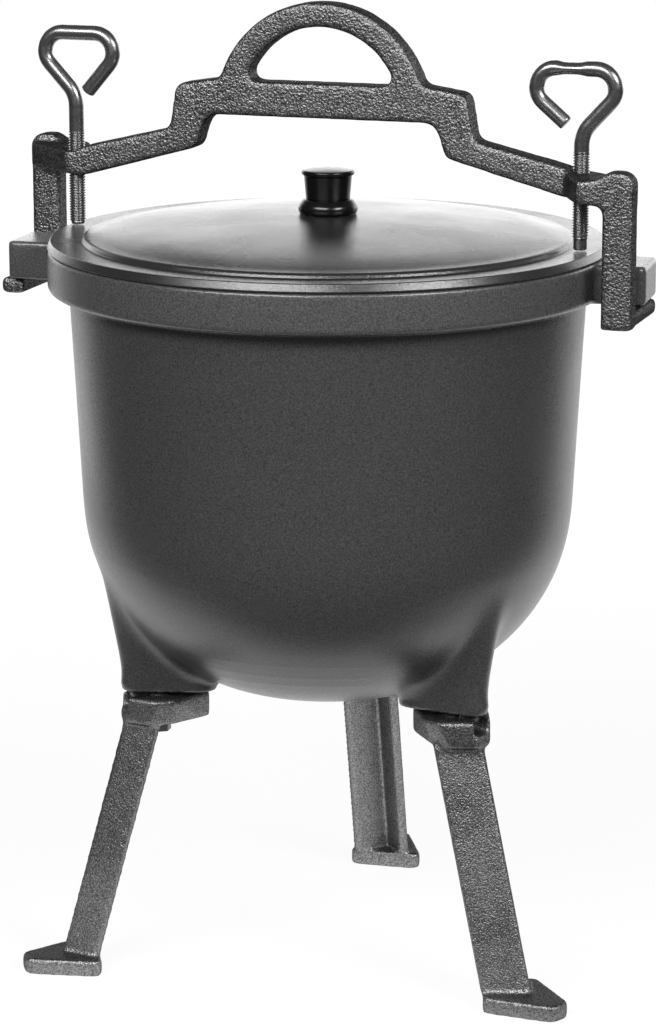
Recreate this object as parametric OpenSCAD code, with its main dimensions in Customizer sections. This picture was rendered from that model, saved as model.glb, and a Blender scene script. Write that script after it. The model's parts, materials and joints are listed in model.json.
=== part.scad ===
// Three-legged cast-iron cauldron with a clamped lid.
// Millimetres, +Z up, floor at z = 0. The ears lie on the X axis and one leg points along +Y.

/* [Pot] */
// Outer diameter of the rim band
rim_d = 265; // [258:1:272]
// Height of the rim band
rim_h = 19; // [17:0.5:21]
// Outer diameter of the body right under the band
body_d = 245; // [242:1:248]
// Outer depth of the pot, from rim to bottom
pot_h = 216; // [211:0.5:222]
// Height of the pot's lowest point above the floor
pot_lift = 131.5; // [124:0.5:138]
// Wall thickness of the casting
wall = 4.5; // [4:0.25:5.5]
// Draft of the side wall, in degrees
draft = 3; // [2.5:0.25:3.5]
// Radius of the shallow bottom
bottom_r = 200; // [180:5:240]
// Radius between the bottom and the side
corner_r = 95; // [90:1:98]

/* [Ears] */
// Width of each ear along the rim
ear_w = 34; // [30:1:36]
// How far each ear stands out of the band
ear_reach = 22; // [20:0.5:24]
// Height of each ear
ear_h = 18; // [16:0.5:18.5]

/* [Lid] */
// Thickness of the lid
lid_t = 4.5; // [4:0.25:5.5]
// Diameter of the foot of the raised dome
dome_d = 232; // [229:1:235]
// Height of the step round the dome
step_h = 2.5; // [2:0.1:3.5]
// Rise of the dome above its step
dome_rise = 9; // [8:0.2:10]

/* [Knob] */
// Diameter of the collar
collar_d = 30.5; // [28:0.5:32]
// Height of the collar
collar_h = 7; // [6:0.5:8]
// Diameter of the knob at its top
knob_d = 25; // [23:0.5:27]
// Height of the knob above the collar
knob_h = 13.5; // [13:0.5:15]
// Diameter of the knob's screw
knob_bolt_d = 6; // [5:0.5:6]

/* [Yoke] */
// Angle of the yoke short of its stop against the ears
yoke_a = -4; // [-8:0.5:0]
// How far the yoke is slid along itself in the play of its hooks
yoke_play = -2.3; // [-3:0.1:3]
// Thickness of the yoke casting, front to back
yoke_t = 14; // [13:0.5:15]
// Underside of the crossbar above the rim
bar_z = 61; // [60:0.5:64]
// Height of the crossbar
bar_h = 16.3; // [15:0.1:17]
// Inner radius of the arch handle
arch_r = 39.5; // [37:0.5:41]
// Thickness of the arch handle at its top
arch_t = 11.5; // [10:0.5:13]
// Length of each post, from its foot to the top of its hump
post_h = 72.5; // [72:0.5:75]
// Radial width of each post
post_w = 14.5; // [13.5:0.5:15]
// Thickness of each post along the rim
post_t = 11.2; // [10:0.2:12]
// Thickness of the hook under each ear
hook_h = 7.8; // [7:0.2:9]

/* [Clamp screws] */
// Nominal thread diameter
thread_d = 8; // [7.6:0.1:8.4]
// Distance of each screw from the pot's axis
screw_r = 125; // [124:0.5:126]
// Length of the left screw, from its tip to the top of its loop
left_screw_l = 95.5; // [94:0.5:100]
// Length of the right screw, from its tip to the top of its loop
right_screw_l = 87; // [86:0.5:92]
// Plain point at the left screw's tip
left_point_l = 1; // [0.5:0.5:3]
// Plain point at the right screw's tip
right_point_l = 5.2; // [3:0.2:6]

/* [Legs] */
// Distance of the foot tips from the pot's axis
foot_tip_r = 152.5; // [148:0.5:158]
// Length of each foot plate
foot_l = 35.5; // [32:0.5:38]
// Width of each foot plate at its inner edge
foot_w = 41; // [38:1:43]
// Thickness of each foot plate
foot_t = 8.2; // [7:0.2:10]
// Width of the wide side of the angle section
leg_w = 23.2; // [22:0.2:24.6]
// Width of the narrow side of the angle section
leg_narrow_w = 18.8; // [18:0.2:20.4]
// Thickness of the angle section
leg_t = 5; // [4.5:0.25:5.5]
// Thickness of each leg's head
head_h = 13; // [11:0.5:14]
// Nominal diameter of the leg bolts
bolt_d = 6; // [5:0.5:7]

/* [Hidden] */
$fn = 96;

// Clearances of the fits
running_gap = 0.06;
press_gap = 0.03;
bolt_gap = 0.4;
hook_gap = 0.5;
post_gap = 0.4;
tip_gap = 0.3;
// Overlap that makes two stretches of one casting a single solid
bite = 1;
// Steps in one rounded corner and in one long arc
corner_steps = 5;
arc_steps = 12;
arch_steps = 36;
bend_steps = 9;
// Sides of a bent rod
rod_sides = 24;

// Heights of the pot
rim_r = rim_d / 2;
body_r = body_d / 2;
rim_z = pot_lift + pot_h;
band_z = pot_h - rim_h;
band_edge = 1.2;
band_low_edge = 2.5;
band_fillet = 3;
ear_edge = 3;
axis_y = -(foot_tip_r - rim_r) / 2;

// Centre of the pot's corner arc, tangent to the drafted side and to the shallow bottom
side_r0 = body_r - band_z * tan(draft) - corner_r / cos(draft);
side_k = tan(draft);
quad_a = 1 + side_k * side_k;
quad_b = bottom_r - side_r0 * side_k;
quad_c = side_r0 * side_r0 + bottom_r * bottom_r - (bottom_r - corner_r) * (bottom_r - corner_r);
corner_z = (quad_b - sqrt(quad_b * quad_b - quad_a * quad_c)) / quad_a;
corner_x = side_r0 + side_k * corner_z;
corner_a = atan2(corner_z - bottom_r, corner_x);
mouth_r = body_r + rim_h * side_k - wall / cos(draft);

// Bosses under the pot, which take the leg bolts
boss_rise = 6;
boss_h = 52;
boss_z = pot_lift + boss_rise;
boss_tip = 7;
boss_side = 8.5;
boss_half = 7.5;
boss_in_r = 66;
boss_out_r = 95;
boss_lean = 9.5;
boss_thread_l = 12;
nub_d = 7;
nub_l = 4;
nub_r = 95;

// Lid
lip_gap = 2;
lip_w = 4;
lip_h = 4;
dome_foot_r = dome_d / 2;
dome_edge = 1.8;
shoulder_r = 4;
dome_foot_edge = 1.5;
flange_edge = 1.3;
lip_edge = 0.8;
dome_top_r = dome_foot_r - dome_edge;
dome_base_z = lid_t + step_h;
seat_r = 16.2;
lid_apex = dome_base_z + dome_rise;
dome_r = (dome_top_r * dome_top_r + dome_rise * dome_rise) / (2 * dome_rise);
washer_seat_r = 9;

// Knob pieces
insert_d = 9;
insert_l = 10.5;
insert_room = 1;
knob_waist = 21;
knob_lip = 2;
knob_flare = 0.9;
knob_edge = 0.4;
collar_foot = 1;
collar_top_in = 3;
collar_edge = 2.2;
knob_washer_d = 14;
knob_washer_t = 1.2;
knob_head_d = 11;
knob_head_h = 3.6;
slot_w = 1.4;
slot_h = 1.6;

// Yoke, measured from the rim
arch_sink = 13.2;
arch_cut_z = bar_z + bar_h;
arch_in_z = arch_cut_z - arch_sink;
arch_top_z = arch_in_z + arch_r + arch_t;
arch_out_r = 51.5;
arch_out_z = arch_top_z - arch_out_r;
arch_foot_h = 0.9;
arch_foot_edge = 5;
arch_foot_rise = 7;
arch_foot_a = asin((arch_cut_z + arch_foot_rise - arch_out_z) / arch_out_r);
arch_foot_s = arch_out_r * cos(arch_foot_a) + (arch_foot_rise - arch_foot_h) * tan(arch_foot_a);
grip_edge = 4;
grip_rise = 7;
grip_a = asin((arch_cut_z + grip_rise - arch_in_z) / arch_r);
grip_s = arch_r * cos(grip_a) + grip_rise * tan(grip_a);
shoulder_s = 71.5;
shoulder_h = 14;
shoulder_out_s = 75;
shoulder_drop = 7.3;
shoulder_in_s = 56.5;
shoulder_in_edge = 8;
shoulder_edge = 5;
knee_s = 61.5;
knee_drop = 16;
knee_edge = 4;
arm_over = 3.4;
arm_drop = 21.7;
arm_h = 9.8;
arm_bend_in = 7;
arm_bend_s = screw_r - arm_bend_in;
arm_bend_rise = 4.2;
arm_end_s = screw_r + arm_over;
arm_end_z = bar_z - arm_drop;
arm_low_z = arm_end_z - arm_h;
block_in = 6;
block_in_s = screw_r - block_in;
link_over = 4.8;
link_in_s = screw_r + link_over;
link_edge = 2;
link_rise = 1.8;
link_top_z = arm_end_z + link_rise;
link_fillet = 4;
post_room = 9.5;
post_s = rim_r + post_room;
post_out_s = post_s + post_w;
post_near_t = -(ear_w / 2 + post_gap);
post_far_t = post_near_t - post_t;
hook_top_z = -rim_h - hook_gap;
hook_z = hook_top_z - hook_h;
hook_inset = 2.8;
hook_over = 5;
hook_edge = 2.5;
hook_end_t = ear_w / 2 + hook_over;
post_top_z = hook_z + post_h;
hump_lean = 3;
hump_run = 4;
hump_edge = 6;
hump_fillet = 5;
hump_in_s = min(link_in_s, post_s - hump_run - hump_fillet);

// Clamp screws, measured from the tip
rod_d = 0.9 * thread_d;
point_d = 0.8 * thread_d;
thread_l = 46;
loop_h = 29.4;
neck_bend = 14;
loop_bend = 9;
loop_stem_x = 27;
left_loop_x = -30.5;
right_loop_x = -37.3;
loop_end = [-7.8, 25];

// Legs
head_gap = 2.3;
head_edge = 2;
head_top_z = boss_z - head_gap;
head_z = head_top_z - head_h;
head_apex_r = 102.3;
head_in_r = 60;
head_in_half = 4;
head_side_r = 80;
head_half = 17;
head_low_half = 13.5;
head_tip_half = 4.5;
slot_gap = 1.3;
slot_drop = 7;
pad_d = 16;
foot_edge = 4;
foot_tip_edge = 4;
foot_toe = 18.6;
foot_apex_r = foot_tip_r - foot_toe;
foot_base_r = foot_tip_r - foot_l;
foot_tip_half = 5.5;
splay = atan2(foot_apex_r - head_apex_r, head_z - foot_t);
bolt_r = 84;
bolt_head_h = 0.66 * bolt_d;
bolt_head_d = 1.875 * bolt_d;
washer_d = 2 * bolt_d;
washer_t = 1.6;
bolt_room = 2;
bolt_thread_l = boss_thread_l - bolt_room;
leg_angles = [210, 330, 90];

// Points along an arc
function arc(centre, r, from, to, steps = arc_steps) = [
    for (i = [0:steps])
        let (a = from + (to - from) * i / steps)
        centre + r * [cos(a), sin(a)]
];

function unit(v) = v / norm(v);

// Arc that rounds the corner b between the neighbours a and c
function corner(a, b, c, r, steps = corner_steps) =
    let (
        u = unit(a - b),
        w = unit(c - b),
        half = acos(u * w) / 2,
        centre = b + unit(u + w) * r / sin(half),
        p = b + u * r / tan(half) - centre,
        q = b + w * r / tan(half) - centre,
        from = atan2(p[1], p[0]),
        turn = atan2(p[0] * q[1] - p[1] * q[0], p * q)
    )
    arc(centre, r, from, from + turn, steps);

// Closed outline from points [x, y, corner radius]
function rounded(p) =
    let (n = len(p), xy = [for (q = p) [q[0], q[1]]])
    [
        for (i = [0:n - 1])
            each p[i][2] > 0
                ? corner(xy[(i + n - 1) % n], xy[i], xy[(i + 1) % n], p[i][2])
                : [xy[i]]
    ];

// Points with no rounding, for an outline that rounds its other corners
function sharp(p) = [for (q = p) [q[0], q[1], 0]];

module cast(tone = 0.27) { color([tone, tone, tone]) children(); }
module at_axis(z = 0) { translate([0, axis_y, z]) children(); }
module at_leg(a) { at_axis() rotate(a) children(); }
module at_yoke(z) { at_axis(z) rotate(yoke_a) translate([yoke_play, 0, 0]) children(); }

// Half section of the bottom and its corner from the axis outwards, moved inwards by inset
function pot_skin(inset) = concat(
    arc([0, bottom_r], bottom_r - inset, -90, corner_a),
    arc([corner_x, corner_z], corner_r - inset, corner_a, -draft)
);

// Distance of the drafted side from the axis at a height, moved inwards by inset
function side_r(inset, z) = body_r + (z - band_z) * side_k - inset / cos(draft);

module cavity() {
    top = pot_h + bite;
    rotate_extrude() polygon(concat(pot_skin(wall), [[side_r(wall, top), top], [0, top]]));
}

module bowl() {
    rotate_extrude() polygon(rounded(concat(
        sharp(pot_skin(0)),
        [
            [side_r(0, band_z), band_z, band_fillet], [rim_r, band_z, band_low_edge],
            [rim_r, pot_h, band_edge], [0, pot_h, 0]
        ]
    )));
}

module ear() {
    linear_extrude(ear_h) polygon(rounded([
        [mouth_r + bite, -ear_w / 2, 0], [rim_r + ear_reach, -ear_w / 2, ear_edge],
        [rim_r + ear_reach, ear_w / 2, ear_edge], [mouth_r + bite, ear_w / 2, 0]
    ]));
}

module boss_plan(out) {
    translate([boss_out_r + out, 0]) circle(boss_tip, $fn = 32);
    for (side = [-1, 1])
        translate([boss_in_r + out, side * boss_half]) circle(boss_side, $fn = 32);
}

module boss() {
    hull() {
        linear_extrude(bite) boss_plan(0);
        translate([0, 0, boss_h]) linear_extrude(bite) boss_plan(boss_lean);
    }
}

module pot() {
    cast(0.26) at_axis() difference() {
        union() {
            translate([0, 0, pot_lift]) bowl();
            for (a = leg_angles) rotate(a) {
                translate([0, 0, boss_z]) boss();
                translate([nub_r, 0, boss_z - nub_l]) cylinder(d = nub_d, h = nub_l + bite);
            }
            for (a = [0, 180]) rotate(a) translate([0, 0, rim_z - rim_h]) ear();
        }
        translate([0, 0, pot_lift]) cavity();
        for (a = leg_angles) rotate(a)
            translate([bolt_r, 0, boss_z - bite])
                cylinder(d = bolt_d + 2 * running_gap, h = boss_thread_l + bite);
    }
}

// Line of the dome from the seat in its middle out to its shoulder, lowered by drop
function dome_line(drop, seat) =
    let (
        centre = [0, lid_apex - dome_r],
        r = dome_r - drop,
        from = acos(seat / r),
        to = acos(dome_top_r / dome_r)
    )
    sharp(concat([[seat, lid_apex - drop]], arc(centre, r, from, to)));

// The same line with its last point rounded
function with_shoulder(line, r) = [
    for (i = [0:len(line) - 1]) [line[i][0], line[i][1], i == len(line) - 1 ? r : 0]
];

function reversed(p) = [for (i = [len(p) - 1:-1:0]) p[i]];

module lid() {
    lip_r = mouth_r - lip_gap;
    hole_r = (knob_bolt_d + bolt_gap) / 2;
    cast(0.33) at_axis(rim_z) rotate_extrude() polygon(rounded(concat(
        [[hole_r, lid_apex, 0]],
        with_shoulder(dome_line(0, seat_r), shoulder_r),
        [
            [dome_foot_r, lid_t, dome_foot_edge], [rim_r, lid_t, flange_edge], [rim_r, 0, 0],
            [lip_r, 0, 0], [lip_r, -lip_h, lip_edge], [lip_r - lip_w, -lip_h, lip_edge], [lip_r - lip_w, 0, 0]
        ],
        reversed(dome_line(lid_t, washer_seat_r)),
        [[hole_r, lid_apex - lid_t, 0]]
    )));
}

module knob_collar() {
    hole_r = (knob_bolt_d + bolt_gap) / 2;
    r = collar_d / 2;
    color([0.05, 0.05, 0.05]) at_axis(rim_z + lid_apex) rotate_extrude() polygon(rounded([
        [hole_r, 0, 0], [r - collar_foot, 0, 0], [r, collar_h / 2, collar_edge],
        [r - collar_top_in, collar_h, collar_edge], [hole_r, collar_h, 0]
    ]));
}

module knob() {
    r = knob_d / 2;
    bore_r = insert_d / 2 + press_gap;
    color([0.04, 0.04, 0.04]) at_axis(rim_z + lid_apex + collar_h) rotate_extrude() polygon(rounded([
        [bore_r, 0, 0], [knob_waist / 2, 0, knob_edge], [r - knob_flare, knob_h - knob_lip, 0],
        [r, knob_h - knob_lip, knob_edge], [r, knob_h, 2 * knob_edge], [0, knob_h, 0],
        [0, insert_l + insert_room, 0], [bore_r, insert_l + insert_room, 0]
    ]));
}

module knob_insert() {
    color([0.72, 0.56, 0.28]) at_axis(rim_z + lid_apex + collar_h) difference() {
        cylinder(d = insert_d, h = insert_l);
        translate([0, 0, -bite]) cylinder(d = knob_bolt_d + 2 * running_gap, h = insert_l + 2 * bite);
    }
}

module knob_washer() {
    color([0.6, 0.6, 0.6]) at_axis(rim_z + lid_apex - lid_t - knob_washer_t) difference() {
        cylinder(d = knob_washer_d, h = knob_washer_t);
        translate([0, 0, -bite]) cylinder(d = knob_bolt_d + bolt_gap, h = knob_washer_t + 2 * bite);
    }
}

module knob_screw() {
    seat_z = rim_z + lid_apex - lid_t - knob_washer_t;
    color([0.6, 0.6, 0.6]) at_axis(seat_z) difference() {
        union() {
            cylinder(d = knob_bolt_d, h = knob_washer_t + lid_t + collar_h + insert_l - insert_room);
            translate([0, 0, -knob_head_h]) cylinder(d = knob_head_d, h = knob_head_h);
        }
        translate([-knob_head_d, -slot_w / 2, -knob_head_h - bite])
            cube([2 * knob_head_d, slot_w, slot_h + bite]);
    }
}

// Right half of the yoke's front outline outside the arch, in [distance from the axis, height over the rim]
function yoke_half() = [
    [arch_foot_s, arch_cut_z + arch_foot_h, arch_foot_edge], [shoulder_s, bar_z + shoulder_h, shoulder_edge],
    [shoulder_out_s, bar_z - shoulder_drop, shoulder_edge],
    [arm_bend_s, arm_end_z + arm_bend_rise, 0], [arm_end_s, arm_end_z, 0], [arm_end_s, arm_low_z, 0],
    [arm_bend_s, arm_low_z, 0], [knee_s, bar_z - knee_drop, knee_edge],
    [shoulder_in_s, bar_z, shoulder_in_edge]
];

module yoke_front() {
    right = yoke_half();
    left = [for (p = reversed(right)) [-p[0], p[1], p[2]]];
    top = arc([0, arch_out_z], arch_out_r, 180 - arch_foot_a, arch_foot_a, arch_steps);
    grip_top = arc([0, arch_in_z], arch_r, grip_a, 180 - grip_a, arch_steps);
    difference() {
        polygon(rounded(concat(right, left, sharp(top))));
        polygon(rounded(concat([[-grip_s, arch_cut_z, grip_edge], [grip_s, arch_cut_z, grip_edge]], sharp(grip_top))));
    }
}

// One end of the yoke: slanted link past the screw, post and hook
module yoke_end() {
    link = rounded([
        [block_in_s, -yoke_t / 2, 0], [link_in_s, post_far_t, link_edge], [post_out_s, post_far_t, link_edge],
        [post_out_s, post_near_t, link_edge], [arm_end_s, yoke_t / 2, link_edge],
        [block_in_s, yoke_t / 2, 0]
    ]);
    post = rounded([
        [hump_in_s, arm_low_z, 0], [post_s, arm_low_z, link_fillet], [post_s, hook_z, 0], [post_out_s, hook_z, 0],
        [post_out_s, post_top_z, hump_edge], [post_s + hump_lean, post_top_z, hump_edge],
        [post_s - hump_run, link_top_z, hump_fillet], [hump_in_s, link_top_z, 0]
    ]);
    translate([0, 0, arm_low_z]) linear_extrude(link_top_z - arm_low_z) polygon(link);
    translate([0, post_near_t, 0]) rotate([90, 0, 0]) linear_extrude(post_t) polygon(post);
    translate([post_s + hook_inset, hook_end_t, hook_z])
        rotate([90, 0, 0]) linear_extrude(hook_end_t - post_far_t) polygon(rounded([
            [0, 0, hook_edge], [post_w - hook_inset, 0, hook_edge],
            [post_w - hook_inset, hook_h, hook_edge], [0, hook_h, hook_edge]
        ]));
}

module yoke() {
    cast(0.36) at_yoke(rim_z) difference() {
        union() {
            translate([0, yoke_t / 2, 0]) rotate([90, 0, 0]) linear_extrude(yoke_t) yoke_front();
            for (a = [0, 180]) rotate(a) yoke_end();
        }
        for (side = [-1, 1])
            translate([side * screw_r, 0, arm_low_z - bite])
                cylinder(d = thread_d + 2 * running_gap, h = bar_z);
    }
}

// Open path through the points, with its inner corners rounded
function bent_path(p, radii) =
    let (n = len(p))
    [
        for (i = [0:n - 1])
            each i == 0 || i == n - 1 ? [p[i]] : corner(p[i - 1], p[i], p[i + 1], radii[i - 1], bend_steps)
    ];

// Round rod along a path in the XZ plane
module rod(path, d) {
    n = len(path);
    points = [
        for (i = [0:n - 1])
            let (way = unit(path[min(i + 1, n - 1)] - path[max(i - 1, 0)]))
            for (j = [0:rod_sides - 1])
                let (a = 360 * j / rod_sides)
                [path[i][0], 0, path[i][1]] + d / 2 * [-way[1] * cos(a), sin(a), way[0] * cos(a)]
    ];
    sides = [
        for (i = [0:n - 2], j = [0:rod_sides - 1])
            let (k = (j + 1) % rod_sides)
            [for (q = [[i, j], [i, k], [i + 1, k], [i + 1, j]]) q[0] * rod_sides + q[1]]
    ];
    ends = [
        [for (j = [rod_sides - 1:-1:0]) j],
        [for (j = [0:rod_sides - 1]) (n - 1) * rod_sides + j]
    ];
    polyhedron(points, concat(sides, ends));
}

// Clamp screw with its tip at the origin and its loop leaning towards +X
module clamp_screw(length, point_l, far_x) {
    top_z = length - rod_d / 2;
    color([0.4, 0.4, 0.4]) {
        cylinder(d = point_d, h = point_l + bite);
        translate([0, 0, point_l]) cylinder(d = thread_d, h = thread_l - point_l);
        rod(bent_path(
            [
                [0, thread_l - bite], [0, top_z - loop_h], [loop_stem_x, top_z], [far_x, top_z],
                [loop_end[0], top_z - loop_end[1]]
            ],
            [neck_bend, loop_bend, loop_bend]
        ), rod_d);
    }
}

module left_clamp_screw() {
    at_yoke(rim_z + lid_t + tip_gap) translate([-screw_r, 0, 0]) rotate(180)
        clamp_screw(left_screw_l, left_point_l, left_loop_x);
}

module right_clamp_screw() {
    at_yoke(rim_z + lid_t + tip_gap) translate([screw_r, 0, 0])
        clamp_screw(right_screw_l, right_point_l, right_loop_x);
}

// Angle section with its outer edge on the Z axis and its open side towards -X
module angle_section() {
    rotate(225) translate([0, -leg_t]) square([leg_w, leg_t]);
    rotate(135) square([leg_narrow_w, leg_t]);
}

module leg_shaft() {
    reach = (head_z - foot_t) / cos(splay);
    intersection() {
        translate([head_apex_r, 0, head_z]) rotate([0, 180 - splay, 0]) mirror([1, 0, 0])
            translate([0, 0, -leg_w]) linear_extrude(reach + 2 * leg_w) angle_section();
        translate([0, -leg_w, foot_t - bite])
            cube([2 * foot_tip_r, 2 * leg_w, head_z - foot_t + 2 * bite]);
    }
}

module leg_foot() {
    linear_extrude(foot_t) polygon(rounded([
        [foot_base_r, -foot_w / 2, foot_edge], [foot_tip_r, -foot_tip_half, foot_tip_edge],
        [foot_tip_r, foot_tip_half, foot_tip_edge], [foot_base_r, foot_w / 2, foot_edge]
    ]));
}

// Plan of the leg's head for a half width: a point outwards, parallel sides and slanted inner faces
module head_plan(half) {
    right = [
        [head_in_r, head_in_half, head_edge], [head_side_r, half, head_edge],
        [head_apex_r - half + head_tip_half, half, head_edge], [head_apex_r, head_tip_half, head_edge]
    ];
    left = [for (p = reversed(right)) [p[0], -p[1], p[2]]];
    polygon(rounded(concat(right, left)));
}

module leg_head() {
    nub_slot_w = nub_d + 2 * slot_gap;
    difference() {
        union() {
            hull() {
                translate([0, 0, head_z]) linear_extrude(bite) head_plan(head_low_half);
                translate([0, 0, head_top_z - bite]) linear_extrude(bite) head_plan(head_half);
            }
            translate([bolt_r, 0, head_z]) cylinder(d = pad_d, h = boss_z - head_z);
        }
        translate([bolt_r, 0, head_z - bite])
            cylinder(d = bolt_d + 2 * bolt_gap, h = boss_z - head_z + 2 * bite);
        translate([nub_r - nub_slot_w / 2, -nub_slot_w / 2, head_top_z - slot_drop])
            cube([head_apex_r, nub_slot_w, slot_drop + head_gap + bite]);
    }
}

module leg() {
    cast(0.34) {
        leg_shaft();
        leg_foot();
        leg_head();
    }
}

module leg_bolt() {
    color([0.45, 0.45, 0.45]) translate([bolt_r, 0, head_z - washer_t]) {
        translate([0, 0, -bolt_head_h]) cylinder(d = bolt_head_d, h = bolt_head_h, $fn = 6);
        cylinder(d = bolt_d, h = washer_t + boss_z - head_z + bolt_thread_l);
    }
}

module leg_washer() {
    color([0.55, 0.55, 0.55]) translate([bolt_r, 0, head_z - washer_t]) difference() {
        cylinder(d = washer_d, h = washer_t);
        translate([0, 0, -bite]) cylinder(d = bolt_d + bolt_gap, h = washer_t + 2 * bite);
    }
}

pot();
lid();
knob();
knob_collar();
knob_insert();
knob_screw();
knob_washer();
yoke();
left_clamp_screw();
right_clamp_screw();
at_leg(leg_angles[0]) leg();  // left_leg
at_leg(leg_angles[1]) leg();  // right_leg
at_leg(leg_angles[2]) mirror([0, 1, 0]) leg();  // rear_leg
at_leg(leg_angles[0]) leg_bolt();  // left_leg_bolt
at_leg(leg_angles[1]) leg_bolt();  // right_leg_bolt
at_leg(leg_angles[2]) leg_bolt();  // rear_leg_bolt
at_leg(leg_angles[0]) leg_washer();  // left_leg_washer
at_leg(leg_angles[1]) leg_washer();  // right_leg_washer
at_leg(leg_angles[2]) leg_washer();  // rear_leg_washer
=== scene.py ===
"""Looks of a three-legged cast-iron cauldron with a clamped lid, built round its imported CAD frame."""

import json
import math

import bmesh
import bpy
import numpy as np
from bpy.props import FloatProperty, FloatVectorProperty, IntProperty, PointerProperty
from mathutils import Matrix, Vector, noise


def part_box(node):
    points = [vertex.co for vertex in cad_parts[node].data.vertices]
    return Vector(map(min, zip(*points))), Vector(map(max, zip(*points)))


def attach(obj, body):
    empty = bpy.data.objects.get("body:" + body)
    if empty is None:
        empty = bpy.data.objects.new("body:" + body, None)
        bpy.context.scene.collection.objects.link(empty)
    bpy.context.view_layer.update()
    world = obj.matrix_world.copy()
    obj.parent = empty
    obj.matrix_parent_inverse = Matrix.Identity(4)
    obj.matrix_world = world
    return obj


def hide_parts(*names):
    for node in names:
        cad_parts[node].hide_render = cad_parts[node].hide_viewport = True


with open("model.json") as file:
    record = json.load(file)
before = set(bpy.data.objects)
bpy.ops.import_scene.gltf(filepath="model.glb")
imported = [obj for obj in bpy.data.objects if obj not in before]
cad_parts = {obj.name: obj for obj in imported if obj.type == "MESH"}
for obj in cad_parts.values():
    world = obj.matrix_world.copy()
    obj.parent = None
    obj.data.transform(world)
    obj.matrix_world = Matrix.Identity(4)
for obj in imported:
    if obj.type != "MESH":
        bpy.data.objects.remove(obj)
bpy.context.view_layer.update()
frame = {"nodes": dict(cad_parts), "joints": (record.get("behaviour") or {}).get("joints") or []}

bl_info = {
    "name": "Clamped-lid cauldron",
    "version": (1, 0, 0),
    "blender": (4, 5, 0),
    "location": "View3D > Sidebar > Cauldron",
    "description": "Builds the cast, turned and bent pieces of a cauldron on its CAD frame",
    "category": "Object",
}

MM = 0.001
POT_LOW, POT_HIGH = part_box("pot")
LID_LOW, LID_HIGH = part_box("lid")
RIM_Z = POT_HIGH.z
BAND_Z = RIM_Z - 19 * MM  # lower edge of the rim band
RIM_R = (LID_HIGH.x - LID_LOW.x) / 2
AXIS = Vector((0, (LID_LOW.y + LID_HIGH.y) / 2, 0))
LEG_ANGLES = (math.radians(210), math.radians(330), math.radians(90))
SCREW_FOOT = {joint["child"]: Vector(joint["pos_m"]) for joint in frame["joints"] if "screw" in joint["child"]}
YOKE_LINE = (SCREW_FOOT["right_screw"] - SCREW_FOOT["left_screw"]).normalized()


def linear(code):
    """Linear RGB of an sRGB hex colour."""
    parts = [int(code[i:i + 2], 16) / 255 for i in (1, 3, 5)]
    return tuple(c / 12.92 if c <= 0.04045 else ((c + 0.055) / 1.055) ** 2.4 for c in parts)


def colour(name, code, about):
    """Property for a colour that a user may change."""
    return FloatVectorProperty(name=name, description=about, subtype="COLOR", default=linear(code), min=0, max=1)


def length(name, size, about):
    """Property for a length, given in millimetres."""
    return FloatProperty(name=name, description=about, default=size * MM, min=0, unit="LENGTH")


class CastingSettings(bpy.types.PropertyGroup):
    """Iron castings: pot, lid, yoke and legs."""

    pot_colour: colour("Pot", "#454545", "Oiled iron of the pot")
    lid_colour: colour("Lid", "#282828", "Oiled iron of the lid")
    yoke_colour: colour("Yoke", "#848484", "Bare sand-cast iron of the yoke")
    # The legs' tone is lighter than the yoke's: partly their shinier finish, partly painted light for the light
    # they catch from the white floor.
    leg_colour: colour("Legs", "#929292", "Bare sand-cast iron of the legs")
    pot_cell: length("Pot cell", 1.2, "Mesh size of the pot")
    rough_cell: length("Yoke and leg cell", 0.9, "Mesh size of the yoke and the legs")
    # Moulding sand is about 0.3 mm. Its print is drawn coarser than that, so that it shows.
    sand: length("Sand grain", 1.0, "Size of the sand's print on the yoke")
    leg_sand: length("Leg sand grain", 0.75, "Size of the sand's print on the legs")
    fine_sand: length("Fine sand grain", 0.75, "Size of the sand's print on the pot and the lid")
    boss_blend: IntProperty(
        name="Boss blend", description="Rounds that blend the bosses into the bowl", default=130,
    )


class SteelSettings(bpy.types.PropertyGroup):
    """Steel rod and fasteners."""

    rod_colour: colour("Rod", "#a6a6a6", "Hot-bent steel rod")
    fastener_colour: colour("Fasteners", "#a0a0a0", "Plain steel bolts and washers")
    brass_colour: colour("Brass", "#c9a65a", "Turned brass of the insert")
    thread_d: length("Thread", 8, "Outer diameter of the thread")
    pitch: length("Pitch", 1.25, "Pitch of the thread")


class KnobSettings(bpy.types.PropertyGroup):
    """Moulded knob."""

    knob_colour: colour("Knob", "#0c0c0c", "Black thermoset")


class StageSettings(bpy.types.PropertyGroup):
    """Floor, light and camera."""

    floor_colour: colour("Floor", "#5c5c5c", "White table")
    lens: FloatProperty(name="Lens", description="Focal length on a 36 mm frame, in millimetres", default=126.5)
    distance: length("Distance", 1683.3, "Camera to the pot's axis, along the floor")
    height: length("Height", 618.1, "Camera above the floor")
    azimuth: FloatProperty(
        name="Azimuth", description="Camera round the pot", default=math.radians(14.5), unit="ROTATION",
    )
    pitch: FloatProperty(
        name="Pitch", description="Camera's tilt down", default=math.radians(13.353), unit="ROTATION",
    )


# Meshes

def new_object(name, mesh):
    """Object in the scene for a mesh, with smooth faces."""
    mesh.shade_smooth()
    piece = bpy.data.objects.new(name, mesh)
    bpy.context.scene.collection.objects.link(piece)
    return piece


def quads(steps, sides, total):
    """Faces between each ring of points and the next one, which may be the first ring again."""
    return [
        tuple(k % total for k in (
            i * sides + j, i * sides + (j + 1) % sides, (i + 1) * sides + (j + 1) % sides, (i + 1) * sides + j,
        ))
        for i in range(steps) for j in range(sides)
    ]


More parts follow.
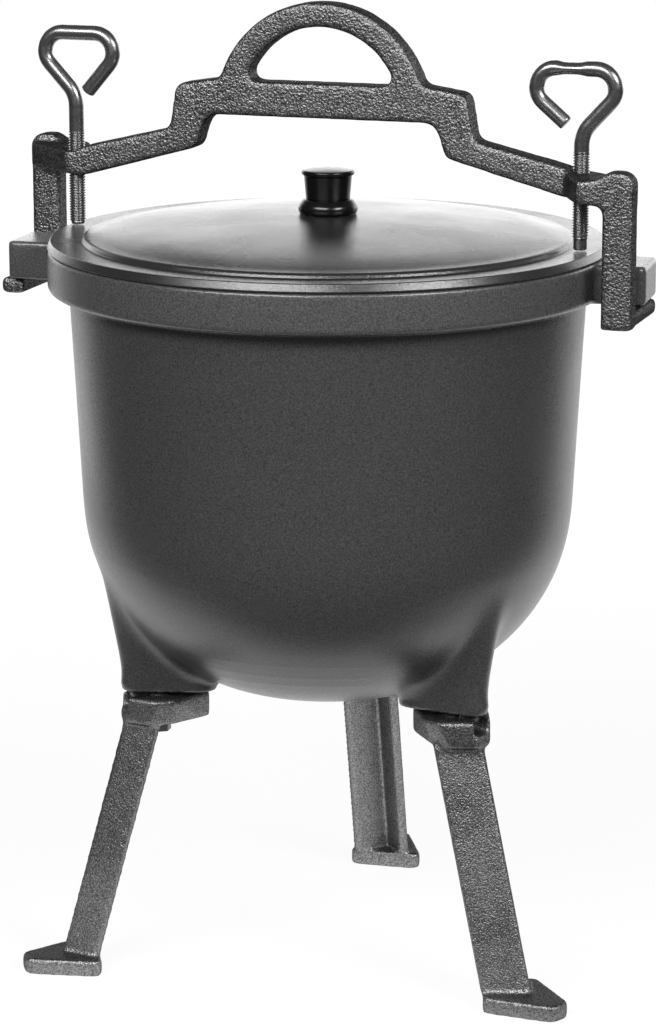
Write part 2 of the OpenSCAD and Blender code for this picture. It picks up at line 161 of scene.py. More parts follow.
def from_grid(name, rings):
    """Mesh object through rings of points, with both ends capped."""
    rows, sides = len(rings), len(rings[0])
    faces = quads(rows - 1, sides, rows * sides)
    faces.append(tuple(range(sides - 1, -1, -1)))
    faces.append(tuple((rows - 1) * sides + j for j in range(sides)))
    mesh = bpy.data.meshes.new(name)
    mesh.from_pydata([tuple(p) for ring in rings for p in ring], [], faces)
    return new_object(name, mesh)


def turned(name, profile, centre, sides):
    """Mesh object of a closed outline of [radius, height] points, turned about a vertical axis."""
    turn = np.linspace(0, 2 * math.pi, sides, endpoint=False)
    outline = np.array(profile)
    points = np.stack([
        centre.x + np.outer(outline[:, 0], np.cos(turn)),
        centre.y + np.outer(outline[:, 0], np.sin(turn)),
        centre.z + np.outer(outline[:, 1], np.ones(sides)),
    ], axis=-1)
    rows = len(profile)
    mesh = bpy.data.meshes.new(name)
    mesh.from_pydata(points.reshape(-1, 3).tolist(), [], quads(rows, sides, rows * sides))
    work = bmesh.new()
    work.from_mesh(mesh)
    bmesh.ops.remove_doubles(work, verts=work.verts, dist=1e-7)
    bmesh.ops.recalc_face_normals(work, faces=work.faces)
    work.to_mesh(mesh)
    work.free()
    return new_object(name, mesh)


def bend(a, b, c, radius, steps=12):
    """Points of the arc that rounds the corner b between a and c."""
    a, b, c = (np.array(p, float) for p in (a, b, c))
    u = (a - b) / np.linalg.norm(a - b)
    w = (c - b) / np.linalg.norm(c - b)
    half = math.acos(np.clip(u @ w, -1, 1)) / 2
    middle = (u + w) / np.linalg.norm(u + w)
    centre = b + middle * radius / math.sin(half)
    start = b + u * radius / math.tan(half) - centre
    end = b + w * radius / math.tan(half) - centre
    sweep = math.acos(np.clip(start @ end / radius ** 2, -1, 1))
    return [
        centre + (start * math.sin((1 - t) * sweep) + end * math.sin(t * sweep)) / math.sin(sweep)
        for t in np.linspace(0, 1, steps)
    ]


def rounded(points, closed=True):
    """Outline through [x, y, radius] points with its corners rounded."""
    count = len(points)
    line = []
    for i, (x, y, radius) in enumerate(points):
        inner = closed or 0 < i < count - 1
        if radius and inner:
            line += bend(points[i - 1][:2], (x, y), points[(i + 1) % count][:2], radius)
        else:
            line.append(np.array((x, y), float))
    return line


def baked(piece):
    """Applies the modifiers of a piece to its mesh."""
    bpy.context.view_layer.update()
    graph = bpy.context.evaluated_depsgraph_get()
    mesh = bpy.data.meshes.new_from_object(piece.evaluated_get(graph))
    old = piece.data
    piece.modifiers.clear()
    piece.data = mesh
    bpy.data.meshes.remove(old)
    mesh.shade_smooth()


def cast_copy(name, node, cell, rounds):
    """Copy of a CAD node as it comes out of the sand, with even faces and soft edges."""
    mesh = frame["nodes"][node].data.copy()
    mesh.materials.clear()
    work = bmesh.new()
    work.from_mesh(mesh)
    bmesh.ops.remove_doubles(work, verts=work.verts, dist=1e-6)
    work.to_mesh(mesh)
    work.free()
    piece = new_object(name, mesh)
    remesh = piece.modifiers.new("even", "REMESH")
    remesh.mode = "VOXEL"
    remesh.voxel_size = cell
    soften = piece.modifiers.new("soften", "SMOOTH")
    soften.factor = 0.5
    soften.iterations = rounds
    baked(piece)
    return piece


def points_of(mesh):
    """Vertex positions as an array."""
    flat = np.empty(len(mesh.vertices) * 3, np.float32)
    mesh.vertices.foreach_get("co", flat)
    return flat.reshape(-1, 3).astype(float)


def set_points(mesh, points):
    """Writes vertex positions back to the mesh."""
    mesh.vertices.foreach_set("co", points.astype(np.float32).ravel())
    mesh.update()


def relax(mesh, weight, rounds):
    """Moves each vertex towards the middle of its neighbours, by its own weight."""
    points = points_of(mesh)
    ends = np.empty(len(mesh.edges) * 2, np.int32)
    mesh.edges.foreach_get("vertices", ends)
    a, b = ends.reshape(-1, 2).T
    count = len(points)
    near = np.maximum(np.bincount(a, minlength=count) + np.bincount(b, minlength=count), 1)
    for _ in range(rounds):
        for axis in range(3):
            line = points[:, axis]
            total = np.bincount(a, line[b], count) + np.bincount(b, line[a], count)
            points[:, axis] = line + weight * (total / near - line)
    set_points(mesh, points)


def normals_of(mesh):
    """Vertex normals as an array."""
    flat = np.empty(len(mesh.vertices) * 3, np.float32)
    mesh.vertices.foreach_get("normal", flat)
    return flat.reshape(-1, 3)


def waver(mesh):
    """Gives a casting the slight waviness of its mould."""
    size, depth = 6 * MM, 0.08 * MM
    points = points_of(mesh)
    lift = np.array([noise.noise(Vector(p) / size) for p in points])
    set_points(mesh, points + normals_of(mesh) * (lift * depth)[:, None])


def evened(place, value, good):
    """Middle of the good values at each place along a profile, smoothed over a few steps of it."""
    step, reach, spread = 1 * MM, 14, 6
    steps = np.arange(place[good].min(), place[good].max(), step)
    row = ((place - steps[0]) // step).astype(int)
    full = [i for i in range(len(steps)) if np.any(good & (row == i))]
    middle = np.interp(steps, steps[full], [np.median(value[good & (row == i)]) for i in full])
    share = np.exp(-(np.arange(-reach, reach + 1) / spread) ** 2)
    padded = np.pad(middle, reach, mode="reflect", reflect_type="odd")
    return np.interp(place, steps + step / 2, np.convolve(padded, share / share.sum(), mode="valid"))


def trued(mesh, masked, band_z):
    """Takes the flats of the CAD mesh off a round casting.

    Its wall and its band move in radius, and its bottom moves in height.
    """
    depth = 0.25 * MM  # a flat up to this depth goes, and a step of twice that depth stays
    points = points_of(mesh)
    normal = normals_of(mesh)
    away = points[:, :2] - np.array(AXIS.xy)
    radius = np.hypot(away[:, 0], away[:, 1])
    facing = (normal[:, :2] * away).sum(axis=1) / np.maximum(radius, 1e-9)
    free = ~masked(points)
    upright = np.clip((facing - 0.55) / 0.28, 0, 1)  # the rest counts as bottom
    body = points[:, 2] < band_z - 4 * MM
    band = points[:, 2] > band_z + 3 * MM
    out = np.zeros(len(points))
    for zone in (body, band):
        out[zone] = (evened(points[:, 2], radius, zone & free & (upright > 0)) - radius)[zone]
    bottom = normal[:, 2] < -0.5
    down = evened(radius, points[:, 2], bottom & free & body) - points[:, 2]
    out *= upright * np.clip(2 - np.abs(out) / depth, 0, 1)
    down *= bottom * (1 - upright) * np.clip(2 - np.abs(down) / depth, 0, 1)
    points[:, :2] += away * (out / np.maximum(radius, 1e-9))[:, None]
    points[:, 2] += down
    set_points(mesh, points)


def placed(piece, body, material, node):
    """Gives a piece its material, and sets it on its body in place of its CAD node."""
    piece.data.materials.clear()
    piece.data.materials.append(material)
    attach(piece, body)
    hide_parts(node)


# Materials

def add(tree, kind, inputs=None, stops=(), **settings):
    """Adds a node with its settings and the stops of its ramp, and links or sets its inputs."""
    made = tree.nodes.new(kind)
    for key, value in settings.items():
        setattr(made, key, value)
    for i, (position, tone) in enumerate(stops):
        made.color_ramp.elements[i].position = position
        made.color_ramp.elements[i].color = (*tone, 1)
    for key, value in (inputs or {}).items():
        if isinstance(value, bpy.types.NodeSocket):
            tree.links.new(value, made.inputs[key])
        else:
            made.inputs[key].default_value = value
    return made


def blank(name):
    """New material and its node tree, with nothing but the output."""
    material = bpy.data.materials.new(name)
    material.use_nodes = True
    tree = material.node_tree
    tree.nodes.clear()
    return material, tree, add(tree, "ShaderNodeOutputMaterial")


def scaled(tone, factor):
    """A colour made lighter or darker."""
    return tuple(min(1, c * factor) for c in tone)


def oiled_cast_iron(name, tone, grain, roughness, painted_light_z):
    """Fine sand casting under a thin film of oil.

    A dark satin skin with a fine even tooth, painted lighter from a height up: painted light for the upright rim
    band, which catches more light than the bowl.
    """
    material, tree, out = blank(name)
    place = add(tree, "ShaderNodeTexCoord").outputs["Object"]
    tooth = add(tree, "ShaderNodeTexNoise", {
        "Vector": place, "Scale": 1 / grain, "Detail": 3.0, "Roughness": 0.55,
    }).outputs["Fac"]
    cloud = add(tree, "ShaderNodeTexNoise", {
        "Vector": place, "Scale": 1 / (60 * MM), "Detail": 3.0, "Roughness": 0.5,
    })
    # The second ramp is the skin painted lighter: painted light, used from the given height up.
    skin, painted_lit_skin = (
        add(tree, "ShaderNodeValToRGB", {
            "Fac": tooth,
        }, stops=((0.35, scaled(tone, dark)), (0.65, scaled(tone, light))))
        for dark, light in ((0.6, 1.45), (0.8, 2.1))
    )
    tall = add(tree, "ShaderNodeSeparateXYZ", {0: place})
    edge = add(tree, "ShaderNodeMapRange", {
        "Value": tall.outputs["Z"], "From Min": painted_light_z - 1 * MM, "From Max": painted_light_z + 1 * MM,
    }, interpolation_type="SMOOTHSTEP")
    # Painted light: the lighter skin takes over from the given height up.
    skin_and_painted_light = add(tree, "ShaderNodeMix", {
        "Factor": edge.outputs["Result"], "A": skin.outputs["Color"], "B": painted_lit_skin.outputs["Color"],
    }, data_type="RGBA")
    gloss = add(tree, "ShaderNodeMapRange", {
        "Value": cloud.outputs["Fac"], "From Min": 0.3, "From Max": 0.7,
        "To Min": roughness - 0.05, "To Max": roughness + 0.06,
    })
    bump = add(tree, "ShaderNodeBump", {"Height": tooth, "Strength": 0.5, "Distance": 0.3 * MM})
    shader = add(tree, "ShaderNodeBsdfPrincipled", {
        "Base Color": skin_and_painted_light.outputs["Result"], "Roughness": gloss.outputs["Result"],
        "Normal": bump.outputs["Normal"], "IOR": 1.8, "Metallic": 0.0,
    })
    tree.links.new(shader.outputs["BSDF"], out.inputs["Surface"])
    return material


def sand_cast_iron(name, tone, grain, relief):
    """Bare iron from coarse sand: grey, pitted, with small glints on the crests of the grain, from its bump and
    partly painted into its colour.
    """
    material, tree, out = blank(name)
    place = add(tree, "ShaderNodeTexCoord").outputs["Object"]
    sand = add(tree, "ShaderNodeTexNoise", {
        "Vector": place, "Scale": 1 / grain, "Detail": 1.5, "Roughness": 0.5,
    }).outputs["Fac"]
    pits = add(tree, "ShaderNodeTexVoronoi", {"Vector": place, "Scale": 0.6 / grain, "Randomness": 1.0})
    cloud = add(tree, "ShaderNodeTexNoise", {"Vector": place, "Scale": 1 / (25 * MM), "Detail": 2.0})
    height = add(tree, "ShaderNodeMath", {
        0: pits.outputs["Distance"], 1: 0.25, 2: sand,
    }, operation="MULTIPLY_ADD")
    # Lighter on the crests of the grain: partly the grain's own tone, partly a painted glint.
    skin = add(tree, "ShaderNodeValToRGB", {
        "Fac": sand,
    }, stops=((0.35, scaled(tone, 0.5)), (0.65, scaled(tone, 1.4))))
    gloss = add(tree, "ShaderNodeMapRange", {
        "Value": cloud.outputs["Fac"], "From Min": 0.3, "From Max": 0.7, "To Min": 0.36, "To Max": 0.46,
    })
    bump = add(tree, "ShaderNodeBump", {"Height": height.outputs[0], "Strength": 1.0, "Distance": relief * grain})
    shader = add(tree, "ShaderNodeBsdfPrincipled", {
        "Base Color": skin.outputs["Color"], "Roughness": gloss.outputs["Result"],
        "Normal": bump.outputs["Normal"], "Metallic": 1.0, "Specular Tint": (0.1, 0.1, 0.1, 1),
    })
    tree.links.new(shader.outputs["BSDF"], out.inputs["Surface"])
    return material


def skinned_metal(name, tone, roughness):
    """Bare metal under a thin dark skin, such as the scale on rod that was bent hot, rubbed thin in places."""
    material, tree, out = blank(name)
    place = add(tree, "ShaderNodeTexCoord").outputs["Object"]
    scale = add(tree, "ShaderNodeTexNoise", {
        "Vector": place, "Scale": 1 / (2.5 * MM), "Detail": 4.0, "Roughness": 0.6,
    }).outputs["Fac"]
    skin = add(tree, "ShaderNodeValToRGB", {"Fac": scale}, stops=((0, scaled(tone, 0.5)), (1, scaled(tone, 1.15))))
    gloss = add(tree, "ShaderNodeMapRange", {
        "Value": scale, "From Min": 0.3, "From Max": 0.7, "To Min": roughness + 0.12, "To Max": roughness - 0.05,
    })
    bump = add(tree, "ShaderNodeBump", {"Height": scale, "Strength": 0.25, "Distance": 0.12 * MM})
    shader = add(tree, "ShaderNodeBsdfPrincipled", {
        "Base Color": skin.outputs["Color"], "Roughness": gloss.outputs["Result"],
        "Normal": bump.outputs["Normal"], "Metallic": 0.95,
    })
    tree.links.new(shader.outputs["BSDF"], out.inputs["Surface"])
    return material


def moulded_thermoset(name, tone):
    """Polished black thermoset: deep black with sharp highlights and faint flow marks from the mould."""
    material, tree, out = blank(name)
    place = add(tree, "ShaderNodeTexCoord").outputs["Object"]
    flow = add(tree, "ShaderNodeTexNoise", {"Vector": place, "Scale": 1 / (4 * MM), "Detail": 2.0})
    skin = add(tree, "ShaderNodeValToRGB", {
        "Fac": flow.outputs["Fac"],
    }, stops=((0, scaled(tone, 0.8)), (1, scaled(tone, 1.3))))
    gloss = add(tree, "ShaderNodeMapRange", {"Value": flow.outputs["Fac"], "To Min": 0.16, "To Max": 0.3})
    shader = add(tree, "ShaderNodeBsdfPrincipled", {
        "Base Color": skin.outputs["Color"], "Roughness": gloss.outputs["Result"], "IOR": 1.55,
    })
    tree.links.new(shader.outputs["BSDF"], out.inputs["Surface"])
    return material


# Pieces

def pot_weight(points):
    """How much each point of the pot gives way where a boss grows out of the bowl."""
    reach, edge = math.radians(34), math.radians(10)
    low, high = POT_LOW.z + 10 * MM, POT_LOW.z + 75 * MM
    away = points - np.array(AXIS)
    round_angle = np.arctan2(away[:, 1], away[:, 0])
    weight = np.zeros(len(points))
    for leg in LEG_ANGLES:
        off = np.abs((round_angle - leg + math.pi) % (2 * math.pi) - math.pi)
        weight = np.maximum(weight, np.clip((reach - off) / edge, 0, 1))
    tall = points[:, 2]
    fade = np.clip((tall - low) / (6 * MM), 0, 1) * np.clip((high - tall) / (10 * MM), 0, 1)
    return 0.5 * weight * fade


class CAULDRON_OT_pot(bpy.types.Operator):
    """Casts the pot with its rim band, ears and leg bosses"""

    bl_idname = "cauldron.pot"
    bl_label = "Pot"

    def execute(self, context):
        cast = context.scene.cauldron_casting
        pot = cast_copy("pot_casting", "pot", cast.pot_cell, rounds=4)
        trued(pot.data, lambda points: pot_weight(points) > 0, BAND_Z)
        relax(pot.data, pot_weight(points_of(pot.data)), cast.boss_blend)
        # The rim band is painted lighter, as painted light for the band catching more light.
        iron = oiled_cast_iron(
            "oiled_cast_iron_pot", tuple(cast.pot_colour), cast.fine_sand, roughness=0.25, painted_light_z=BAND_Z,
        )
        placed(pot, "pot", iron, "pot")
        return {"FINISHED"}


def dome_height(radius):
    """Height of the lid's dome above the rim, at a distance from the axis."""
    dome_r, fall_from, fall_rate = 729 * MM, 92 * MM, 0.0025 / MM
    fall = fall_rate * max(0, radius - fall_from) ** 2
    return LID_HIGH.z - RIM_Z - radius ** 2 / (2 * dome_r) - fall


class CAULDRON_OT_lid(bpy.types.Operator):
    """Casts the lid with its dome, flange and lip"""

    bl_idname = "cauldron.lid"
    bl_label = "Lid"

    def execute(self, context):
        cast = context.scene.cauldron_casting
        apex = (LID_HIGH.z - RIM_Z) / MM
        lip = (RIM_Z - LID_LOW.z) / MM
        rim = RIM_R / MM
        # Outline in millimetres, from the screw's hole over the dome to the rim and back under it
        hole_r, seat_r, wall = 3.2, 16.2, 4.5
        dome_end, under_end = 111, 108
        lip_in, lip_out = 113, 117
        dome = [[r, dome_height(r * MM) / MM, 0] for r in np.linspace(seat_r, dome_end, 40)]
        under = [[r, dome_height(r * MM) / MM - wall, 0] for r in np.linspace(under_end, seat_r, 40)]
        step = [[115.0, 6.3, 2.2], [116.1, 3.9, 0.8]]
        flange = [[rim - 1.5, 4.5, 0.7], [rim, 0.9, 0.4], [rim - 1.2, 0, 0]]
        ridge = [[lip_out, 0, 0], [lip_out, -lip, 1], [lip_in, -lip, 1], [lip_in, 0, 1]]
        outline = rounded(
            [[hole_r, apex, 0]] + dome + step + flange + ridge + under + [[hole_r, apex - wall, 0]]
        )
        lid = turned("lid_casting", [p * MM for p in outline], AXIS + Vector((0, 0, RIM_Z)), sides=288)
        iron = oiled_cast_iron(
            "oiled_cast_iron_lid", tuple(cast.lid_colour), cast.fine_sand, roughness=0.24, painted_light_z=LID_HIGH.z,
        )
        placed(lid, "lid", iron, "lid")
        return {"FINISHED"}


class CAULDRON_OT_knob(bpy.types.Operator):
    """Moulds the knob and the collar under it"""

    bl_idname = "cauldron.knob"
    bl_label = "Knob"

    def execute(self, context):
        moulding = moulded_thermoset("moulded_thermoset_black", tuple(context.scene.cauldron_knob.knob_colour))
        low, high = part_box("knob")
        tall = (high.z - low.z) / MM
        wide = (high.x - low.x) / MM / 2
        insert_r, base_r, roof, crown_h, middle = 4.6, 10.4, 2, 1.0, 0.01
        crown = [[r, tall + crown_h * (1 - (r / wide) ** 2), 0] for r in np.linspace(0.8 * wide, middle, 10)]
        outline = rounded([
            [insert_r, 0, 0], [base_r, 0, 0.5], [wide - 1.2, tall - 2.6, 1.0], [wide, tall - 1.8, 0.7],
            [wide, tall, 0.9],
        ] + crown + [[middle, tall - roof, 0], [insert_r, tall - roof, 0]])
        knob = turned("knob_moulding", [p * MM for p in outline], AXIS + Vector((0, 0, low.z)), sides=96)
        placed(knob, "lid", moulding, "knob")
        low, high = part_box("knob_collar")
        tall = (high.z - low.z) / MM
        wide = (high.x - low.x) / MM / 2
        hole_r = 3.2
        outline = rounded([
            [hole_r, 0, 0], [wide - 1.8, 0, 0.5], [wide, tall * 0.42, 4.0], [wide - 3.4, tall, 2.4],
            [hole_r, tall, 0],
        ])
        collar = turned("knob_collar_moulding", [p * MM for p in outline], AXIS + Vector((0, 0, low.z)), sides=96)
        placed(collar, "lid", moulding, "knob_collar")
        return {"FINISHED"}


class CAULDRON_OT_yoke(bpy.types.Operator):
    """Casts the yoke with its arch handle, arms, posts and hooks"""

    bl_idname = "cauldron.yoke"
    bl_label = "Yoke"

    def execute(self, context):
        cast = context.scene.cauldron_casting
        yoke = cast_copy("yoke_casting", "yoke", cast.rough_cell, rounds=22)
        waver(yoke.data)
        iron = sand_cast_iron("sand_cast_iron_yoke", tuple(cast.yoke_colour), cast.sand, relief=0.55)
        placed(yoke, "yoke", iron, "yoke")
        return {"FINISHED"}


def clamp_screw(node, foot, lean, point_l, far_x, end, pressed, steel):
    """Rod with a rolled thread, a plain point and a bent loop.

    The loop leans along the given direction, and may be pressed flat at its top.
    """
    low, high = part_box(node)
    tall = (high.z - low.z) / MM
    thread_r = steel.thread_d / MM / 2
    pitch = steel.pitch / MM
    rod_r, point_r, root_r = 0.9 * thread_r, 0.8 * thread_r, thread_r - 0.6 * pitch
    thread_top, neck_l, near_x = 46, 29.4, 27
    neck_bend, top_bend = 14, 9
    point_edge, end_edge = 0.4, 0.7
    sides = 48
    turn = np.linspace(0, 2 * math.pi, sides, endpoint=False)

    def level(along, radius):
        """Level ring of points with the given radii."""
        return [(radius[j] * math.cos(a), radius[j] * math.sin(a), along) for j, a in enumerate(turn)]

    def square(x, z, way_x, way_z, thin, broad):
        """Ring of points round the bent rod, square to its way."""
        return [
            (x + way_z * thin * math.cos(a), broad * math.sin(a), z - way_x * thin * math.cos(a)) for a in turn
        ]

    rings = [level(0, [point_r - point_edge] * sides)]
    rings += [level(along, [point_r] * sides) for along in np.linspace(point_edge, point_l, 8)]
    for along in np.arange(point_l, thread_top, pitch / 10):
        phase = (along / pitch - turn / (2 * math.pi)) % 1
        crest = np.clip(2.4 * (0.5 - np.abs(phase - 0.5)), 0, 1)
        fade = min(1, (along - point_l) / pitch + 0.2, (thread_top - along) / pitch)
        rings.append(level(along, root_r + (thread_r - root_r) * crest * fade))
    top = tall - rod_r
    path = np.array(rounded([
        [0, thread_top - 1.5, 0], [0, top - neck_l, neck_bend], [near_x, top, top_bend],
        [far_x, top, top_bend], [end[0], top - end[1], 0],
    ], closed=False))
    along = np.concatenate([[0], np.cumsum(np.linalg.norm(np.diff(path, axis=0), axis=1))])
    even = np.linspace(0, along[-1], 160)
    path = np.stack([np.interp(even, along, path[:, 0]), np.interp(even, along, path[:, 1])], axis=1)
    way = np.gradient(path, axis=0)
    way /= np.linalg.norm(way, axis=1)[:, None]
    for (x, z), (way_x, way_z) in zip(path, way):
        press = 0.22 * math.exp(-((x + 5) / 6) ** 4) if pressed and z > top - 1 else 0
        rings.append(square(x, z, way_x, way_z, rod_r * (1 - press), rod_r * (1 + 0.7 * press)))
    (x, z), (way_x, way_z) = path[-1], way[-1]
    end_r = rod_r - end_edge
    rings.append(square(x + 0.5 * way_x, z + 0.5 * way_z, way_x, way_z, end_r, end_r))
    side = Vector((-lean.y, lean.x, 0))
    origin = Vector((foot.x, foot.y, low.z))
    world = [[origin + (lean * x + side * y + Vector((0, 0, z))) * MM for x, y, z in r] for r in rings]
    return from_grid(node + "_rod", world)


class CAULDRON_OT_clamp_screws(bpy.types.Operator):
    """Bends the two clamp screws from rod and rolls their threads"""

    bl_idname = "cauldron.clamp_screws"
    bl_label = "Clamp screws"

    def execute(self, context):
        steel = context.scene.cauldron_steel
        metal = skinned_metal("hot_bent_steel", tuple(steel.rod_colour), roughness=0.25)
        for side, lean, point_l, far_x, end in (
            ("left", -YOKE_LINE, 1, -29.6, (-6.2, 27.6)),
            ("right", YOKE_LINE, 5.2, -37.3, (-7.8, 25)),
        ):
            node = side + "_clamp_screw"
            foot = SCREW_FOOT[side + "_screw"]
            screw = clamp_screw(node, foot, lean, point_l, far_x, end, side == "right", steel)
            placed(screw, side + "_screw", metal, node)
        return {"FINISHED"}


class CAULDRON_OT_legs(bpy.types.Operator):
    """Casts the three legs with their heads and feet"""

    bl_idname = "cauldron.legs"
    bl_label = "Legs"

    def execute(self, context):
        cast = context.scene.cauldron_casting
        iron = sand_cast_iron("sand_cast_iron_legs", tuple(cast.leg_colour), cast.leg_sand, relief=0.4)
        for node in ("left_leg", "right_leg", "rear_leg"):
            leg = cast_copy(node + "_casting", node, cast.rough_cell, rounds=26)
            waver(leg.data)
            placed(leg, "pot", iron, node)
        return {"FINISHED"}


class CAULDRON_OT_fasteners(bpy.types.Operator):
    """Finishes the bolts, washers and the knob's insert that the CAD frame carries"""

    bl_idname = "cauldron.fasteners"
    bl_label = "Fasteners"

    def execute(self, context):
        steel = context.scene.cauldron_steel
        plain = skinned_metal("plain_steel", tuple(steel.fastener_colour), roughness=0.4)
        brass = skinned_metal("turned_brass", tuple(steel.brass_colour), roughness=0.3)
        for name, node in frame["nodes"].items():
            finish = brass if name == "knob_insert" else plain
            if "bolt" in name or "washer" in name or name in ("knob_screw", "knob_insert"):
                node.data.materials.clear()
                node.data.materials.append(finish)
        return {"FINISHED"}


# Stage

def white_table(tone, behind, across):
    """Matt white sheet that runs from under the object up to the backdrop.

    The iron reflects its lit part, and it keeps a soft shadow.
    """
    material, tree, out = blank("white_table")
    material.cycles.emission_sampling = "NONE"
    place = add(tree, "ShaderNodeTexCoord").outputs["Object"]
    # Paper has a finer grain than 3 mm. It is drawn coarser than that, so that it shows.
    grain = add(tree, "ShaderNodeTexNoise", {"Vector": place, "Scale": 1 / (3 * MM), "Detail": 2.0})
    skin = add(tree, "ShaderNodeValToRGB", {
        "Fac": grain.outputs["Fac"],
    }, stops=((0, scaled(tone, 0.97)), (1, tone)))
    matt = add(tree, "ShaderNodeBsdfDiffuse", {"Color": skin.outputs["Color"]})
    # The lit part starts just in front of the object and widens behind it.
    back, side = (
        add(tree, "ShaderNodeVectorMath", {0: place, 1: way}, operation="DOT_PRODUCT").outputs["Value"]
        for way in (behind, across)
    )
    aside = add(tree, "ShaderNodeMath", {0: side}, operation="ABSOLUTE")
    beside = add(tree, "ShaderNodeMath", {0: back, 1: -0.8, 2: aside.outputs[0]}, operation="MULTIPLY_ADD")
    begun, within = (
        add(tree, "ShaderNodeMapRange", {
            "Value": value, "From Min": none, "From Max": full,
        }, interpolation_type="SMOOTHSTEP").outputs["Result"]
        for value, none, full in ((back, -0.18, -0.09), (beside.outputs[0], 0.5, 0.25))
    )
    lit = add(tree, "ShaderNodeMath", {0: begun, 1: within}, operation="MULTIPLY")
    # Reflections see the lit part, and the camera sees white that is a little dimmer near the object.
    path = add(tree, "ShaderNodeLightPath").outputs
    passed = add(tree, "ShaderNodeMath", {
        0: path["Is Glossy Ray"], 1: path["Is Transmission Ray"],
    }, operation="MAXIMUM")
    mirrored = add(tree, "ShaderNodeMath", {0: passed.outputs[0], 1: lit.outputs[0]}, operation="MULTIPLY")
    far = add(tree, "ShaderNodeVectorMath", {0: place}, operation="LENGTH")
    white = add(tree, "ShaderNodeMapRange", {
        "Value": far.outputs["Value"], "From Min": 0.3, "From Max": 1.4, "To Min": 0.92, "To Max": 1.0,
    })
    seen = add(tree, "ShaderNodeMath", {
        0: path["Is Camera Ray"], 1: white.outputs["Result"],
    }, operation="MULTIPLY")
    level = add(tree, "ShaderNodeMath", {
        0: mirrored.outputs[0], 1: 0.9, 2: seen.outputs[0],
    }, operation="MULTIPLY_ADD")
    glow = add(tree, "ShaderNodeEmission", {"Color": (1, 1, 1, 1), "Strength": level.outputs[0]})
    both = add(tree, "ShaderNodeAddShader", {0: matt.outputs["BSDF"], 1: glow.outputs["Emission"]})
    tree.links.new(both.outputs["Shader"], out.inputs["Surface"])
    return material


def softbox(name, spot, aim, wide, tall, power):
    """Area lamp that faces a point."""
    lamp = bpy.data.lights.new(name, "AREA")
    lamp.shape = "RECTANGLE"
    lamp.size = wide
    lamp.size_y = tall
    lamp.energy = power
    rig = bpy.data.objects.new(name, lamp)
    rig.location = spot
    rig.rotation_euler = (Vector(aim) - Vector(spot)).to_track_quat("-Z", "Y").to_euler()
    bpy.context.scene.collection.objects.link(rig)


def white_world(behind):
    """White backdrop behind the object, which its iron reflects, and dim even light from the room."""
    world = bpy.data.worlds.new("white_backdrop")
    bpy.context.scene.world = world
    world.use_nodes = True
    tree = world.node_tree
    tree.nodes.clear()
    way = add(tree, "ShaderNodeTexCoord").outputs["Generated"]
    tall = add(tree, "ShaderNodeSeparateXYZ", {0: way})
    back = add(tree, "ShaderNodeVectorMath", {0: way, 1: behind}, operation="DOT_PRODUCT")
    low, middle = (
        add(tree, "ShaderNodeMapRange", {
            "Value": value, "From Min": none, "From Max": full,
        }, interpolation_type="SMOOTHSTEP").outputs["Result"]
        for value, none, full in ((tall.outputs["Z"], 0.5, 0.25), (back.outputs["Value"], 0.45, 0.8))
    )
    sheet = add(tree, "ShaderNodeMath", {0: middle, 1: low}, operation="MULTIPLY")
    level = add(tree, "ShaderNodeMath", {0: sheet.outputs[0], 1: 2.2, 2: 0.09}, operation="MULTIPLY_ADD")
    room = add(tree, "ShaderNodeBackground", {"Color": (1, 1, 1, 1), "Strength": level.outputs[0]})
    white = add(tree, "ShaderNodeBackground", {"Color": (1, 1, 1, 1), "Strength": 1.0})
    seen = add(tree, "ShaderNodeLightPath").outputs["Is Camera Ray"]
    full = add(tree, "ShaderNodeMixShader", {"Fac": seen, 1: room.outputs[0], 2: white.outputs[0]})
    end = add(tree, "ShaderNodeOutputWorld")
    tree.links.new(full.outputs[0], end.inputs["Surface"])


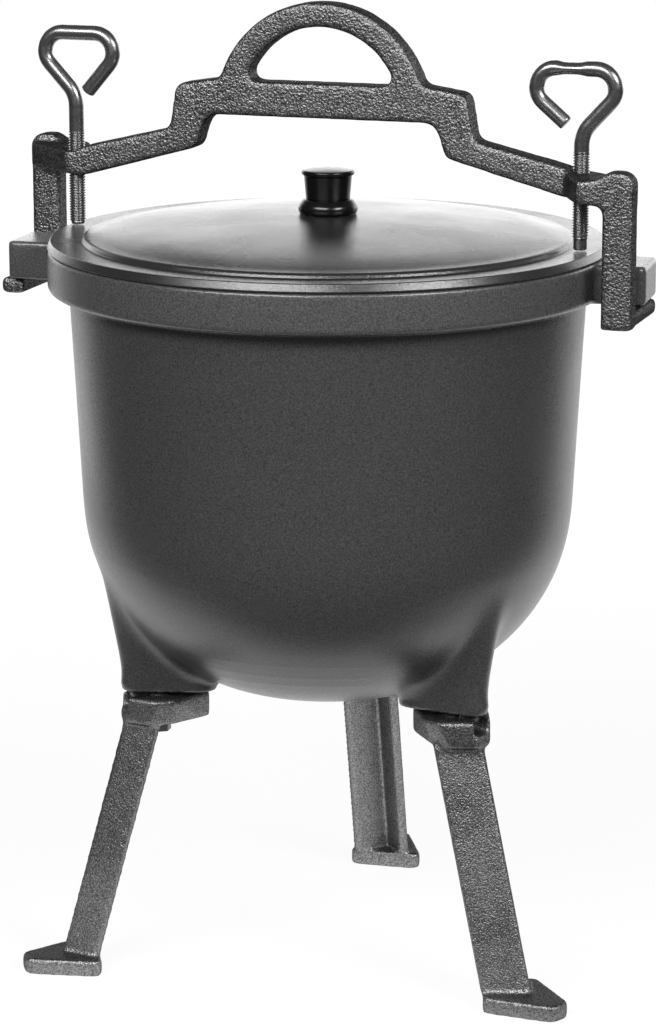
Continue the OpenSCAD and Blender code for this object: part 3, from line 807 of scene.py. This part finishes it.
class CAULDRON_OT_stage(bpy.types.Operator):
    """Sets up the floor, the light and the camera"""

    bl_idname = "cauldron.stage"
    bl_label = "Stage"

    def execute(self, context):
        stage = context.scene.cauldron_stage
        scene = context.scene
        scene.view_settings.view_transform = "Standard"
        half = 4
        mesh = bpy.data.meshes.new("table")
        corners = [(-half, -half, 0), (half, -half, 0), (half, half, 0), (-half, half, 0)]
        mesh.from_pydata(corners, [], [(0, 1, 2, 3)])
        table = new_object("table", mesh)
        behind = Vector((-math.sin(stage.azimuth), math.cos(stage.azimuth), 0))
        across = Vector((behind.y, -behind.x, 0))
        mesh.materials.append(white_table(tuple(stage.floor_colour), behind, across))
        sheet_way = behind + 0.15 * across  # the backdrop's middle lies a little to the right
        white_world(sheet_way.normalized())
        middle = (0, 0, 0.3)
        lamp_near, lamp_z, lamp_tall = 1.4, 1.35, 0.6
        for name, aside, wide, power in (("left_softbox", -0.75, 1.5, 28), ("right_softbox", 1.25, 0.9, 24)):
            spot = across * aside - behind * lamp_near + Vector((0, 0, lamp_z))
            softbox(name, spot, middle, wide, lamp_tall, power)
        camera = bpy.data.cameras.new("camera")
        camera.sensor_width = 36
        camera.lens = stage.lens
        rig = bpy.data.objects.new("camera", camera)
        rig.location = AXIS + Vector((
            stage.distance * math.sin(stage.azimuth), -stage.distance * math.cos(stage.azimuth), stage.height,
        ))
        rig.rotation_euler = (math.pi / 2 - stage.pitch, 0, stage.azimuth)
        scene.collection.objects.link(rig)
        scene.camera = rig
        return {"FINISHED"}


class CAULDRON_PT_panel(bpy.types.Panel):
    """Cauldron pieces"""

    bl_idname = "CAULDRON_PT_panel"
    bl_label = "Cauldron"
    bl_space_type = "VIEW_3D"
    bl_region_type = "UI"
    bl_category = "Cauldron"

    def draw(self, context):
        scene = context.scene
        for settings in (scene.cauldron_casting, scene.cauldron_steel, scene.cauldron_knob, scene.cauldron_stage):
            box = self.layout.box()
            for key in settings.__annotations__:
                box.prop(settings, key)
        for step in OPERATORS:
            self.layout.operator(step.bl_idname)


GROUPS = {
    "cauldron_casting": CastingSettings,
    "cauldron_steel": SteelSettings,
    "cauldron_knob": KnobSettings,
    "cauldron_stage": StageSettings,
}
OPERATORS = (
    CAULDRON_OT_stage, CAULDRON_OT_pot, CAULDRON_OT_lid, CAULDRON_OT_knob, CAULDRON_OT_yoke,
    CAULDRON_OT_clamp_screws, CAULDRON_OT_legs, CAULDRON_OT_fasteners,
)


def register():
    for group in GROUPS.values():
        bpy.utils.register_class(group)
    for name, group in GROUPS.items():
        setattr(bpy.types.Scene, name, PointerProperty(type=group))
    for kind in OPERATORS + (CAULDRON_PT_panel,):
        bpy.utils.register_class(kind)


def unregister():
    for kind in OPERATORS + (CAULDRON_PT_panel,):
        bpy.utils.unregister_class(kind)
    for name, group in GROUPS.items():
        delattr(bpy.types.Scene, name)
        bpy.utils.unregister_class(group)


def main():
    register()
    bpy.ops.cauldron.stage()
    bpy.ops.cauldron.pot()
    bpy.ops.cauldron.lid()
    bpy.ops.cauldron.knob()
    bpy.ops.cauldron.yoke()
    bpy.ops.cauldron.clamp_screws()
    bpy.ops.cauldron.legs()
    bpy.ops.cauldron.fasteners()


if __name__ == "__main__":
    main()
